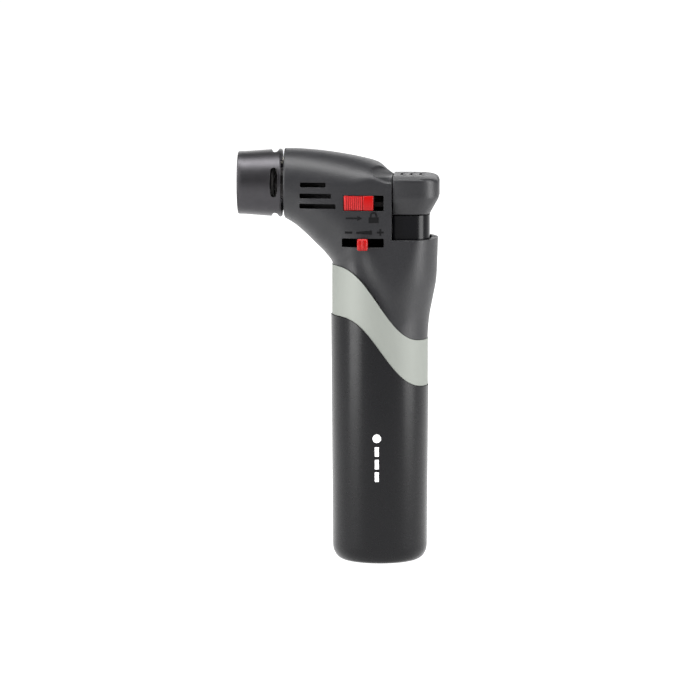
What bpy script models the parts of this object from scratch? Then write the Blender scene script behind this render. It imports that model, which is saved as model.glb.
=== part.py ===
"""Pistol-shaped butane torch lighter, as separate pieces.

Frame: +Z up, the flame leaves towards -X, the thumb button is at +X, the lock slider and the
flame lever are on the -Y side, and the origin is the middle of the flat base.
Sizes below are in millimetres. Each finished mesh is scaled to metres.
"""
import math

import bpy
import bmesh
from mathutils import Matrix, Vector

MM = 0.001

# Shell and body
WALL = 1.4
SPLIT_GAP = 0.05
BAND_RADIUS = 13.7
BAND_INNER = 13.0
BAND_GAP = 0.15
SKIRT_RADIUS = 12.7
SKIRT_OVERLAP = 3.0
SLEEVE_WALL = 0.9
TANK_RADIUS = 12.3
TANK_NECK = 11.7
TANK_WALL = 1.2
TANK_TOP = 60.0

# Burner line, along X at this height
BURNER_Z = 107.9
NECK_RADIUS = 4.3
GUARD_FRONT = -40.4
GUARD_REAR = -27.9
PLATE_X = -30.6
SPARK_Z = 114.2

# Button
SEAM_X = 3.6
LANDING_Z = 110.25
BUTTON_X = 3.9
COLLAR_Z = 92.6
CAP_BOTTOM = 99.7
CAP_TOP = 110.5
STEM_BOTTOM = 91.5
STEM_REAR = 14.2
STEM_HALF = 9.8
STEM_CORNER = 6.0
FOOT_BOTTOM = 85.8

# Lock slider and flame lever
LOCK_SLOT = (-10.1, 1.4)
LOCK_Z = 103.1
LOCK_SLOT_HEIGHT = 4.43
LOCK_BLOCK = (-9.85, -1.55)
FLAME_SLOT = (-10.4, 1.5)
FLAME_Z = 91.9
FLAME_SLOT_HEIGHT = 2.54

# Outlet valve axis, gas lever pivot, piezo axis and filling valve axis
VALVE_X = -4.5
LEVER_PIVOT = (-0.6, 95.2)
PIEZO_X = 7.1
FILL_X = 4.6

# Screws through both shells, as (x, z)
SCREWS = ((-20.5, 98.5), (-10.8, 87.5), (1.3, 86.5))
SCREW_BOSS = 2.5

# Vent slots, as (z, left end, right end)
VENTS = ((108.1, -22.35, -15.0), (105.0, -22.45, -13.45), (102.1, -22.5, -12.15))
VENT_HEIGHT = 1.4

# The shell is lofted through these sections, from the barrel's front to inside the sleeve.
# Each runs from an inner edge (x, z) to an outer edge (x, z), with the half depth at each
# edge and the edge's own radius along the section.
SECTIONS = (
    # inner x, z       outer x, z      half depths    edge radii
    (-27.2, 98.03, -27.2, 117.77, 9.87, 9.87, 9.87, 9.87),
    (-23.9, 96.0, -22.6, 117.7, 10.1, 10.1, 10.3, 9.9),
    (-20.5, 93.0, -17.0, 117.25, 10.8, 10.4, 10.8, 9.8),
    (-18.2, 90.7, -11.4, 116.5, 11.6, 10.7, 11.6, 9.4),
    (-16.3, 88.9, -5.5, 115.4, 12.3, 10.9, 12.3, 8.5),
    (-15.0, 87.4, -0.5, 113.95, 12.8, 11.0, 12.8, 5.5),
    (-14.2, 86.4, 3.6, 111.0, 13.1, 11.0, 13.0, 3.2),
    (-13.8, 85.8, 9.5, 110.6, 13.2, 11.0, 13.2, 3.0),
    (-13.6, 85.2, 14.6, 109.9, 13.3, 11.0, 13.3, 3.5),
    (-13.5, 84.7, 16.6, 106.5, 13.35, 11.1, 13.3, 5.0),
    (-13.4, 84.2, 16.7, 100.0, 13.4, 11.3, 13.4, 6.5),
    (-13.4, 83.6, 16.5, 92.5, 13.4, 11.9, 13.4, 8.0),
    (-13.4, 82.0, 16.3, 86.0, 13.4, 12.6, 13.4, 9.5),
    (-13.4, 79.0, 16.0, 80.5, 13.4, 13.1, 13.4, 11.5),
    (-13.4, 75.0, 15.1, 75.5, 13.4, 13.4, 13.4, 13.0),
    (-13.4, 70.0, 14.15, 70.5, 13.4, 13.4, 13.4, 13.4),
    (-13.4, 65.0, 13.65, 65.0, 13.4, 13.4, 13.4, 13.4),
    (-13.4, 56.0, 13.4, 56.0, 13.4, 13.4, 13.4, 13.4),
    (-13.4, 44.0, 13.4, 44.0, 13.4, 13.4, 13.4, 13.4),
)

ALONG_X = Matrix.Translation((0, 0, BURNER_Z)) @ Matrix.Rotation(math.radians(90), 4, "Y")


# ---------------------------------------------------------------- scene and helpers

def clear_scene():
    for obj in list(bpy.data.objects):
        bpy.data.objects.remove(obj)


def make_collection(name):
    collection = bpy.data.collections.new(name)
    bpy.context.scene.collection.children.link(collection)
    return collection


def material(name, colour, roughness, metallic=0.0):
    mat = bpy.data.materials.new(name)
    mat.use_nodes = True
    shader = mat.node_tree.nodes["Principled BSDF"]
    shader.inputs["Base Color"].default_value = (*colour, 1.0)
    shader.inputs["Roughness"].default_value = roughness
    shader.inputs["Metallic"].default_value = metallic
    mat.diffuse_color = (*colour, 1.0)
    return mat


def add_object(name, data):
    obj = bpy.data.objects.new(name, data)
    PARTS.objects.link(obj)
    return obj


def mesh_object(name, cage):
    bmesh.ops.recalc_face_normals(cage, faces=cage.faces)
    mesh = bpy.data.meshes.new(name)
    cage.to_mesh(mesh)
    cage.free()
    return add_object(name, mesh)


def bake(obj):
    """Replace an object's mesh by its evaluated mesh."""
    bpy.context.view_layer.update()
    graph = bpy.context.evaluated_depsgraph_get()
    mesh = bpy.data.meshes.new_from_object(obj.evaluated_get(graph))
    obj.modifiers.clear()
    obj.data = mesh
    return obj


def boolean(target, other, operation="DIFFERENCE"):
    """Cut, join or intersect target with other, then drop other."""
    modifier = target.modifiers.new(operation.lower(), "BOOLEAN")
    modifier.operation = operation
    modifier.object = other
    modifier.solver = "MANIFOLD"  # the exact solver leaves open edges on the shell
    bake(target)
    bpy.data.objects.remove(other)
    return target


def cut(target, *others):
    for other in others:
        boolean(target, other)
    return target


def join(target, *others):
    for other in others:
        boolean(target, other, "UNION")
    return target


def block(name, low, high):
    low, high = Vector(low), Vector(high)
    cage = bmesh.new()
    bmesh.ops.create_cube(cage, size=1.0, matrix=Matrix.LocRotScale(
        (low + high) / 2, None, high - low))
    return mesh_object(name, cage)


def rod(name, start, end, radius, sides=24):
    start, end = Vector(start), Vector(end)
    turn = (end - start).to_track_quat("Z", "Y")
    cage = bmesh.new()
    bmesh.ops.create_cone(cage, cap_ends=True, segments=sides, radius1=radius, radius2=radius,
                          depth=(end - start).length,
                          matrix=Matrix.LocRotScale((start + end) / 2, turn, None))
    return mesh_object(name, cage)


def turned(name, profile, place=Matrix(), sides=36, closed=True):
    """Turn a profile of (radius, height) points about Z, then place it.

    A closed profile makes a ring. An open one starts and ends on the axis.
    """
    cage = bmesh.new()
    verts = [cage.verts.new((radius, 0, height)) for radius, height in profile]
    for a, b in zip(verts, verts[1:]):
        cage.edges.new((a, b))
    if closed:
        cage.edges.new((verts[-1], verts[0]))
    mesh = bpy.data.meshes.new(name)
    cage.to_mesh(mesh)
    cage.free()
    obj = add_object(name, mesh)
    screw = obj.modifiers.new("turn", "SCREW")
    screw.steps = screw.render_steps = sides
    screw.use_merge_vertices = True
    screw.merge_threshold = 0.0001
    bake(obj)
    cage = bmesh.new()
    cage.from_mesh(obj.data)
    bmesh.ops.recalc_face_normals(cage, faces=cage.faces)
    cage.transform(place)
    cage.to_mesh(obj.data)
    cage.free()
    return obj


def curve_mesh(name, curve):
    """A mesh object from a curve, with its caps welded."""
    guide = add_object(name + "_guide", curve)
    bpy.context.view_layer.update()
    graph = bpy.context.evaluated_depsgraph_get()
    mesh = bpy.data.meshes.new_from_object(guide.evaluated_get(graph))
    bpy.data.objects.remove(guide)
    cage = bmesh.new()
    cage.from_mesh(mesh)
    bmesh.ops.remove_doubles(cage, verts=cage.verts, dist=0.0001)
    bpy.data.meshes.remove(mesh)
    return mesh_object(name, cage)


def wire(name, points, radius, resolution=2):
    curve = bpy.data.curves.new(name, "CURVE")
    curve.dimensions = "3D"
    curve.bevel_depth = radius
    curve.bevel_resolution = resolution
    curve.use_fill_caps = True
    spline = curve.splines.new("POLY")
    spline.points.add(len(points) - 1)
    for point, place in zip(spline.points, points):
        point.co = (*place, 1.0)
    return curve_mesh(name, curve)


def prism(name, outline, thickness, place=Matrix()):
    """A flat outline in XY, thickened both ways from the plane, then placed."""
    curve = bpy.data.curves.new(name, "CURVE")
    curve.dimensions = "2D"
    curve.fill_mode = "BOTH"
    curve.extrude = thickness / 2
    spline = curve.splines.new("POLY")
    spline.points.add(len(outline) - 1)
    for point, place_xy in zip(spline.points, outline):
        point.co = (*place_xy, 0.0, 1.0)
    spline.use_cyclic_u = True
    obj = curve_mesh(name, curve)
    obj.data.transform(place)
    return obj


def coil(name, centre, radius, wire_radius, low, high, turns, steps=6):
    """A compression spring about a vertical axis, with flattened end turns."""
    points = []
    count = int(turns * steps)
    for i in range(count + 1):
        angle = 2 * math.pi * i / steps
        share = i / count
        rise = min(max((share * turns - 0.75) / (turns - 1.5), 0.0), 1.0)
        end_rise = wire_radius * 2.2 * (min(share * turns, 0.75) / 0.75
                                        + max(share * turns - turns + 0.75, 0.0) / 0.75)
        height = low + wire_radius + end_rise
        height += rise * (high - low - 2 * wire_radius - 4.4 * wire_radius)
        points.append((centre[0] + radius * math.cos(angle),
                       centre[1] + radius * math.sin(angle), height))
    return wire(name, points, wire_radius, 1)


def smooth_route(points, steps):
    """Points on a smooth curve through a wire's or a tube's own route points."""
    ends = [points[0], *points, points[-1]]
    route = []
    for i in range(1, len(ends) - 2):
        a, b, c, d = (Vector(p) for p in ends[i - 1:i + 3])
        for step in range(steps):
            t = step / steps
            route.append(0.5 * (2 * b + (c - a) * t + (2 * a - 5 * b + 4 * c - d) * t ** 2
                                + (3 * b - a - 3 * c + d) * t ** 3))
    return [tuple(p) for p in route] + [tuple(points[-1])]


def loft(name, rings):
    """Close a row of equal-length rings of points into one solid."""
    cage = bmesh.new()
    rows = [[cage.verts.new(point) for point in ring] for ring in rings]
    count = len(rows[0])
    for row, following in zip(rows, rows[1:]):
        for i in range(count):
            j = (i + 1) % count
            cage.faces.new((row[i], row[j], following[j], following[i]))
    cage.faces.new(rows[0])
    cage.faces.new(list(reversed(rows[-1])))
    return mesh_object(name, cage)


def finish(obj, mat, origin=(0, 0, 0), sharp=35):
    """Give a piece its material and shading, and scale it to metres about its origin."""
    bmesh_data = bmesh.new()
    bmesh_data.from_mesh(obj.data)
    bmesh.ops.transform(bmesh_data, verts=bmesh_data.verts,
                        matrix=Matrix.Scale(MM, 4) @ Matrix.Translation(-Vector(origin)))
    bmesh_data.to_mesh(obj.data)
    bmesh_data.free()
    obj.location = Vector(origin) * MM
    obj.data.materials.clear()
    obj.data.materials.append(mat)
    obj.data.shade_smooth()
    obj.data.set_sharp_from_angle(angle=math.radians(sharp))
    obj.data.name = obj.name
    return obj


# ---------------------------------------------------------------- shared outlines

def s_step(u):
    """A smooth step from -1 to 1 whose slope and bend die out at both ends."""
    u = max(-1.0, min(1.0, u))
    return 1.875 * u - 1.25 * u ** 3 + 0.375 * u ** 5


def band_top(x):
    return 74.3 - 10.6 * s_step(x / BAND_RADIUS)


def band_bottom(x):
    return 60.6 - 10.1 * s_step((x - 1.0) / BAND_RADIUS)


def wave_cutter(name, edge, offset, far_z, steps=22, reach=16.07):
    """All that lies between a wavy edge z = edge(x) + offset and the height far_z."""
    xs = [0.03 - reach + 2 * reach * i / steps for i in range(steps + 1)]
    outline = [(x, edge(x) + offset) for x in xs] + [(xs[-1], far_z), (xs[0], far_z)]
    return prism(name, outline, 40.0, Matrix.Rotation(math.radians(90), 4, "X"))


def button_outline(rear, half, corner, front=BUTTON_X, steps=5):
    """Plan outline of the button: square at the front, rounded at the two rear corners."""
    arc = []
    for i in range(steps + 1):
        angle = math.radians(90) * i / steps
        arc.append((rear - corner + corner * math.sin(angle),
                    half - corner + corner * math.cos(angle)))
    left = [(x, -y) for x, y in arc]
    return [(front, -half)] + left + list(reversed(arc)) + [(front, half)]


def section_values(t):
    """Catmull-Rom blend of the shell's sections at t, counted in sections."""
    i = min(int(t), len(SECTIONS) - 2)
    u = t - i
    rows = [SECTIONS[min(max(i + k, 0), len(SECTIONS) - 1)] for k in (-1, 0, 1, 2)]
    return [0.5 * (2 * b + (c - a) * u + (2 * a - 5 * b + 4 * c - d) * u * u
                   + (3 * b - a - 3 * c + d) * u ** 3) for a, b, c, d in zip(*rows)]


def section_ring(t, inset, arc=4, flat=2):
    """Closed ring of points round one section of the shell, moved in by inset."""
    in_x, in_z, out_x, out_z, in_half, out_half, in_edge, out_edge = section_values(t)
    inner, outer = Vector((in_x, in_z)), Vector((out_x, out_z))
    along = (outer - inner).normalized()
    inner, outer = inner + along * inset, outer - along * inset
    length = (outer - inner).length
    in_edge = min(in_edge - inset, length / 2)
    out_edge = min(max(out_edge - inset, 1.0), length / 2)
    side = []
    for i in range(arc + 1):
        angle = math.radians(90) * i / arc
        side.append((in_edge * (1 - math.cos(angle)), math.sin(angle)))
    for i in range(1, flat):
        side.append((in_edge + (length - in_edge - out_edge) * i / flat, 1.0))
    for i in range(arc + 1):
        angle = math.radians(90) * (1 - i / arc)
        side.append((length - out_edge * (1 - math.cos(angle)), math.sin(angle)))
    half = []
    for s, share in side:
        width = in_half + (out_half - in_half) * s / length - inset
        place = inner + along * s
        half.append((place.x, share * width, place.y))
    back = [(x, -y, z) for x, y, z in reversed(half[1:-1])]
    return half + back


def shell_loft(name, inset, start, per_section=2, arc=4):
    count = (len(SECTIONS) - 1) * per_section
    steps = [i / per_section for i in range(count + 1)]
    rings = [section_ring(t, inset, arc) for t in steps if t > start]
    return loft(name, [section_ring(start, inset, arc)] + rings)


# ---------------------------------------------------------------- shell, band and sleeve

def shell_cavity():
    """The hollow of the shell, less its rear wall, collar floor, bosses and rib."""
    cavity = shell_loft("cavity", WALL, 0.45, 1, 3)
    cut(cavity, block("landing_floor", (-2.6, -20, LANDING_Z - WALL), (30, 20, 130)))
    cut(cavity, block("rib", (-23.4, 0, 80), (-11.6, 1.3, 104.3)))
    cut(cavity, block("rear_wall", (SEAM_X - WALL, -20, COLLAR_Z - WALL), (30, 20, 130)))
    for x, z in SCREWS:
        cut(cavity, rod("boss", (x, -20, z), (x, 20, z), SCREW_BOSS, 16))
    x, z = LEVER_PIVOT
    for side in (-1, 1):
        cut(cavity, rod("boss", (x, 2.7 * side, z), (x, 20 * side, z), 1.5, 12))
    return cavity


def skirt():
    """The part of the shell that stands inside the band and the sleeve."""
    ring = rod("skirt", (0, 0, 40), (0, 0, 95), SKIRT_RADIUS, 36)
    cut(ring, wave_cutter("below", band_bottom, -SKIRT_OVERLAP, 20))
    cut(ring, wave_cutter("above", band_top, SKIRT_OVERLAP, 120))
    return ring


def button_pocket(shell):
    """Open the rear of the shell for the button, with a collar round its stem."""
    cut(shell, block("pocket", (SEAM_X, -20, COLLAR_Z), (30, 20, 130)))
    outline = button_outline(STEM_REAR + 0.4, STEM_HALF + 0.4, STEM_CORNER + 0.4,
                             SEAM_X - 0.05)
    cut(shell, prism("stem_hole", outline, 8.0, Matrix.Translation((0, 0, COLLAR_Z - 3.6))))


def thumb_landing(shell):
    """Narrow the top of the hump to a V that points at the button."""
    for side in (-1, 1):
        outline = [(-1.0, 8.5 * side), (6.0, -3.3 * side), (12.0, 16.0 * side),
                   (-1.0, 16.0 * side)]
        cut(shell, prism("landing", outline, 12.0, Matrix.Translation((0, 0, LANDING_Z + 6))))


def shell_slots(shell):
    for z, left, right in VENTS:
        cut(shell, block("vent", (left, -20, z - VENT_HEIGHT / 2),
                         (right, 20, z + VENT_HEIGHT / 2)))
    for (left, right), z, height in ((LOCK_SLOT, LOCK_Z, LOCK_SLOT_HEIGHT),
                                     (FLAME_SLOT, FLAME_Z, FLAME_SLOT_HEIGHT)):
        cut(shell, block("slot", (left, -20, z - height / 2), (right, -8, z + height / 2)))
    cut(shell, block("peg_slot", (0, -1.6, 95.9), (6, 1.6, 102.8)))
    cut(shell, block("finger_slot", (0, -9.6, 101.6), (6, -8.2, 103.6)))


def shell_holes(shell):
    cut(shell, rod("neck_hole", (-35, 0, BURNER_Z), (-20, 0, BURNER_Z), NECK_RADIUS + 0.3))
    cut(shell, rod("spark_hole", (-35, 0, SPARK_Z), (-20, 0, SPARK_Z), 1.3, 12))
    for x, z in SCREWS:
        cut(shell, rod("pilot", (x, -6.4, z), (x, 20, z), 1.2, 12))
        cut(shell, rod("counterbore", (x, 4.9, z), (x, 20, z), 1.9, 16))
    x, z = LEVER_PIVOT
    cut(shell, rod("pin_hole", (x, -6, z), (x, 6, z), 0.8, 12))


def make_shells():
    shell = shell_loft("shell", 0.0, 0.0)
    cut(shell, wave_cutter("lower", band_top, BAND_GAP, 20))
    join(shell, skirt())
    cut(shell, shell_cavity(), rod("tank_room", (0, 0, 30), (0, 0, 66), SKIRT_RADIUS - 0.7, 36))
    button_pocket(shell)
    thumb_landing(shell)
    shell_slots(shell)
    shell_holes(shell)
    for name, low, high in (("left_housing", -30, -SPLIT_GAP), ("right_housing", SPLIT_GAP, 30)):
        half = add_object(name, shell.data.copy())
        boolean(half, block("side", (-60, low, 0), (60, high, 140)), "INTERSECT")
        finish(half, PLASTIC)
    bpy.data.objects.remove(shell)


def make_screws():
    for number, (x, z) in enumerate(SCREWS, 1):
        head = rod(f"housing_screw_{number}", (x, 5.1, z), (x, 6.4, z), 1.6, 20)
        join(head, rod("shank", (x, -6.0, z), (x, 5.4, z), 0.95, 12))
        cross = block("cross", (x - 0.95, 5.9, z - 0.22), (x + 0.95, 7, z + 0.22))
        join(cross, block("cross", (x - 0.22, 5.9, z - 0.95), (x + 0.22, 7, z + 0.95)))
        cut(head, cross)
        finish(head, STEEL)


def make_band():
    band = turned("trim_band", [(BAND_RADIUS, 95), (BAND_RADIUS, 40), (BAND_INNER, 40),
                                (BAND_INNER, 95)])
    cut(band, wave_cutter("above", band_top, 0.0, 120))
    cut(band, wave_cutter("below", band_bottom, 0.0, 20))
    finish(band, SILVER)


def make_sleeve():
    outer = [(0, 80), (14.05, 80), (13.55, 4.5), (13.2, 3.0), (12.6, 1.9), (9.5, 0), (0, 0)]
    inner = [(0, 90), (14.15 - SLEEVE_WALL, 90), (13.55 - SLEEVE_WALL, 3.2), (11.6, 1.6), (0, 1.6)]
    sleeve = turned("body_sleeve", outer, closed=False)
    cut(sleeve, turned("hollow", inner, closed=False))
    cut(sleeve, wave_cutter("above", band_bottom, -BAND_GAP, 120))
    cut(sleeve, rod("fill_hole", (FILL_X, 0, -1), (FILL_X, 0, 3), 3.4))
    finish(sleeve, GLOSS_BLACK)


# ---------------------------------------------------------------- burner

def make_guard():
    outer = [(8.75, GUARD_FRONT), (8.93, -40.0), (8.95, -38.5), (9.69, -28.5),
             (9.55, GUARD_REAR)]
    inner = [(8.75, GUARD_REAR), (8.05, -38.5), (8.05, GUARD_FRONT)]
    guard = turned("wind_guard", outer + inner, ALONG_X)
    for quarter in range(4):
        spin = (Matrix.Translation((0, 0, BURNER_Z))
                @ Matrix.Rotation(math.radians(90 * quarter - 5), 4, "X"))
        slot = block("slot", (-30.8, -11, -4.2), (-28.9, -6, 4.2))
        slot.data.transform(spin)
        cut(guard, slot)
    for angle in (54, 234):
        spin = (Matrix.Translation((0, 0, BURNER_Z))
                @ Matrix.Rotation(math.radians(-angle), 4, "X"))
        tab = block("tab", (-28.4, -9.5, -1.0), (-27.4, -8.85, 1.0))
        tab.data.transform(spin)
        join(guard, tab)
    finish(guard, BLACK_CHROME)


def make_burner():
    plate = turned("guard_plate", [(8.3, PLATE_X), (8.3, PLATE_X + 0.6), (2.9, PLATE_X + 0.6),
                                   (2.9, PLATE_X)], ALONG_X, 36)
    cut(plate, rod("hole", (-35, 0, SPARK_Z), (-25, 0, SPARK_Z), 1.2, 12))
    finish(plate, STEEL)

    mount = turned("burner_mount", [(NECK_RADIUS, -29.6), (NECK_RADIUS, -25.1), (5.0, -25.1),
                                    (5.0, -23.8), (1.9, -23.8), (1.9, -27.7), (2.86, -27.7),
                                    (2.86, -29.6)], ALONG_X, 24)
    finish(mount, DARK_METAL)

    tube = turned("burner_tube", [(2.56, -35.0), (2.56, -28.0), (1.9, -28.0), (1.9, -35.0)],
                  ALONG_X, 24)
    finish(tube, DARK_METAL)

    holder = rod("flame_holder", (-34.8, 0, BURNER_Z), (-33.8, 0, BURNER_Z), 1.65, 24)
    for i in range(6):
        angle = math.radians(60 * i)
        y, z = 1.05 * math.cos(angle), BURNER_Z + 1.05 * math.sin(angle)
        cut(holder, rod("port", (-36, y, z), (-33, y, z), 0.3, 8))
    finish(holder, BRASS)

    mixer = turned("mixing_tube", [(3.3, -23.5), (3.3, -13.8), (2.4, -13.8), (1.6, -18.5),
                                   (2.4, -23.5)], ALONG_X, 24)
    for side in (-1, 1):
        cut(mixer, rod("air_hole", (-16.0, 0, BURNER_Z), (-16.0, 6 * side, BURNER_Z), 1.0, 12))
    finish(mixer, BRASS)

    jet = turned("gas_jet", [(0, -13.4), (0.9, -13.4), (1.2, -12.4), (1.8, -12.4), (1.8, -10.2),
                             (0, -10.2)], ALONG_X, 24, closed=False)
    finish(jet, BRASS)


def make_spark_parts():
    insulator = rod("electrode_insulator", (-33.0, 0, SPARK_Z), (-17.2, 0, SPARK_Z), 0.9, 16)
    cut(insulator, rod("bore", (-40, 0, SPARK_Z), (-10, 0, SPARK_Z), 0.6, 12))
    finish(insulator, CERAMIC)

    route = [(-16.8, 0, SPARK_Z), (-33.2, 0, SPARK_Z), (-34.2, 0, 113.8), (-34.7, 0, 112.8),
             (-34.7, 0, 111.2)]
    finish(wire("spark_electrode", route, 0.35), STEEL)

    route = [(2.2, 3.0, 65.0), (0.4, 4.6, 66.5), (-2.6, 6.2, 71.0), (-3.6, 6.6, 78.0),
             (-3.6, 6.6, 88.0), (-3.7, 6.4, 98.0), (-5.4, 5.2, 106.0), (-9.0, 3.0, 111.4),
             (-13.0, 0.6, 113.9), (-16.2, 0, SPARK_Z)]
    finish(wire("spark_wire", smooth_route(route, 3), 0.55, 1), RUBBER)


# ---------------------------------------------------------------- button and controls

BUTTON_ORIGIN = (PIEZO_X, 0, CAP_TOP)


def make_button():
    """The cap is lofted through plan outlines: (z, rear x, half depth, corner radius)."""
    levels = ((CAP_BOTTOM, 14.3, 9.9, 4.8), (104.4, 16.83, 11.0, 6.0), (108.1, 16.83, 11.0, 6.0),
              (109.0, 16.65, 11.0, 6.0), (109.6, 16.1, 10.75, 5.8), (109.95, 15.7, 10.3, 5.6),
              (110.3, 15.0, 8.8, 5.2), (CAP_TOP, 14.4, 8.0, 4.8))
    rings = [[(x, y, z) for x, y in button_outline(rear, half, corner)]
             for z, rear, half, corner in levels]
    cap = loft("thumb_button", rings)
    cut(cap, block("lock_pocket", (3, -9.9, 101.4), (5.2, -8.1, 108.8)))
    join(cap, block("peg", (1.2, -1.2, 101.2), (4.4, 1.2, 102.4)))
    finish(cap, PLASTIC, BUTTON_ORIGIN)

    top = CAP_BOTTOM - 0.3
    stem = prism("button_stem", button_outline(STEM_REAR, STEM_HALF, STEM_CORNER),
                 top - STEM_BOTTOM, Matrix.Translation((0, 0, (top + STEM_BOTTOM) / 2)))
    join(stem, block("foot", (4.3, -6, FOOT_BOTTOM), (11.5, 6, 92.0)))
    finish(stem, GLOSS_BLACK, BUTTON_ORIGIN)


def make_lock_slider():
    left, right = LOCK_BLOCK
    slider = block("lock_slider", (left, -11.8, LOCK_Z - 2.07), (right, -8.9, LOCK_Z + 2.07))
    join(slider, block("flange", (left - 1.3, -9.3, LOCK_Z - 3), (right + 0.3, -8.5, LOCK_Z + 3)))
    join(slider, block("finger", (right, -9.3, 101.9), (1.8, -8.5, 103.3)))
    finish(slider, RED, (left, -11.8, LOCK_Z))


def make_flame_lever():
    hub = turned("flame_lever", [(4.6, 92.9), (4.6, 90.6), (3.3, 90.6), (3.3, 92.9)],
                 Matrix.Translation((VALVE_X, 0, 0)), 24)
    join(hub, block("arm", (VALVE_X - 1.2, -14.2, FLAME_Z - 1), (VALVE_X + 1.2, -3.9, FLAME_Z + 1)))
    join(hub, block("pad", (VALVE_X - 1.5, -15, FLAME_Z - 1.45),
                    (VALVE_X + 1.5, -13.6, FLAME_Z + 1.45)))
    finish(hub, RED, (VALVE_X, 0, FLAME_Z))


def make_gas_lever():
    x, z = LEVER_PIVOT
    lever = block("gas_lever", (x - 1.0, -2.3, z - 0.45), (1.9, 2.3, z + 0.45))
    for side in (-1, 1):
        inner, outer = sorted((1.15 * side, 2.3 * side))
        join(lever, block("tine", (-6.0, inner, z - 0.45), (x - 0.9, outer, z + 0.45)))
    join(lever, rod("hub", (x, -2.3, z), (x, 2.3, z), 1.5, 20))
    cut(lever, rod("bore", (x, -4, z), (x, 4, z), 0.85, 16))
    finish(lever, STEEL, (x, 0, z))
    finish(rod("lever_pin", (x, -5.6, z), (x, 5.6, z), 0.6, 16), STEEL)


# ---------------------------------------------------------------- outlet valve and gas tube

def make_valve():
    place = Matrix.Translation((VALVE_X, 0, 0))
    body = [(3.0, 74.5), (3.0, 82.3), (4.0, 82.3), (4.0, 83.3), (3.0, 83.3), (3.0, 93.9),
            (1.15, 93.9), (1.15, 88.5), (2.05, 88.5), (2.05, 74.5)]
    finish(turned("valve_body", body, place, 20), BRASS)
    for name, low, high, mat in (("valve_filter", 75.0, 78.2, SINTERED),
                                 ("valve_seal", 78.5, 79.6, RUBBER)):
        finish(rod(name, (VALVE_X, 0, low), (VALVE_X, 0, high), 1.75, 16), mat)
    stem = [(0, 79.9), (1.7, 79.9), (1.7, 80.7), (0.8, 80.7), (0.8, 95.9), (1.6, 95.9),
            (1.6, 96.4), (0.6, 96.4), (0.6, 97.2), (0, 97.2)]
    finish(turned("valve_stem", stem, place, 16, closed=False), BRASS, (VALVE_X, 0, 79.9))
    finish(coil("valve_spring", (VALVE_X, 0), 1.38, 0.2, 81.0, 88.2, 5), STEEL)

    route = [(VALVE_X, 0, 98.2), (VALVE_X, 0, 101.2), (-4.7, 0, 103.6), (-5.6, 0, 106.0),
             (-7.4, 0, 107.6), (-9.9, 0, BURNER_Z)]
    finish(wire("gas_tube", smooth_route(route, 3), 0.9), CLEAR_TUBE)


# ---------------------------------------------------------------- piezo igniter

def make_piezo():
    case = block("piezo_case", (3.1, -4.0, 62.6), (11.1, 4.0, 76.2))
    cut(case, rod("bore", (PIEZO_X, 0, 63.9), (PIEZO_X, 0, 80), 2.8, 24))
    finish(case, WHITE_PLASTIC)
    for name, radius, low, high, mat in (("piezo_contact", 2.4, 64.1, 64.7, BRASS),
                                         ("piezo_crystal", 2.2, 65.0, 68.2, CERAMIC),
                                         ("piezo_anvil", 1.6, 68.4, 69.4, STEEL)):
        finish(rod(name, (PIEZO_X, 0, low), (PIEZO_X, 0, high), radius, 20), mat)
    hammer = rod("piezo_hammer", (PIEZO_X, 0, 73.7), (PIEZO_X, 0, 76.0), 1.6, 20)
    finish(hammer, STEEL, (PIEZO_X, 0, 73.7))
    plunger = [(2.45, 85.5), (2.45, 74.7), (1.9, 74.7), (1.9, 84.5), (0, 84.5)]
    finish(turned("piezo_plunger", [(0, 85.5)] + plunger, Matrix.Translation((PIEZO_X, 0, 0)),
                  24, closed=False), WHITE_PLASTIC, BUTTON_ORIGIN)
    finish(coil("hammer_spring", (PIEZO_X, 0), 1.2, 0.22, 76.3, 84.2, 5), STEEL)
    finish(coil("button_spring", (PIEZO_X, 0), 3.25, 0.35, 76.5, 85.5, 5, 8), STEEL)


# ---------------------------------------------------------------- tank and filling valve

def make_tank():
    outer = [(0, TANK_TOP), (TANK_NECK, TANK_TOP), (TANK_NECK, 47.3), (TANK_RADIUS, 46.5),
             (TANK_RADIUS, 3.4), (11.2, 2.0), (0, 2.0)]
    hollow = [(0, 70), (TANK_NECK - TANK_WALL, 70), (TANK_NECK - TANK_WALL, 46.9),
              (TANK_RADIUS - TANK_WALL, 46.1), (TANK_RADIUS - TANK_WALL, 4.0), (10.3, 3.4), (0, 3.4)]
    tank = turned("fuel_tank", outer, closed=False, sides=28)
    cut(tank, turned("hollow", hollow, closed=False, sides=28))
    join(tank, rod("boss", (FILL_X, 0, 2.6), (FILL_X, 0, 9.5), 4.2))
    cut(tank, rod("bore", (FILL_X, 0, 0), (FILL_X, 0, 12), 2.9))
    finish(tank, CLEAR_TANK)

    spigot = TANK_NECK - TANK_WALL - 0.25
    lid = turned("tank_lid", [(0, 62.3), (TANK_NECK, 62.3), (TANK_NECK, TANK_TOP + 0.3),
                              (spigot, TANK_TOP + 0.3), (spigot, 59.5), (9.5, 59.5), (9.5, 58.1),
                              (spigot, 58.1), (spigot, 57.5), (8.8, 57.5), (8.8, TANK_TOP + 0.3),
                              (0, TANK_TOP + 0.3)], closed=False, sides=28)
    join(lid, rod("tower", (VALVE_X, 0, 58.5), (VALVE_X, 0, 82.0), 4.25))
    cut(lid, rod("bore", (VALVE_X, 0, 50), (VALVE_X, 0, 90), 3.3))
    finish(lid, GREY_PLASTIC)

    ring = turned("lid_gasket", [(10.32, 59.2), (10.32, 58.4), (9.75, 58.4), (9.75, 59.2)], sides=28)
    finish(ring, RUBBER)


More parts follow.
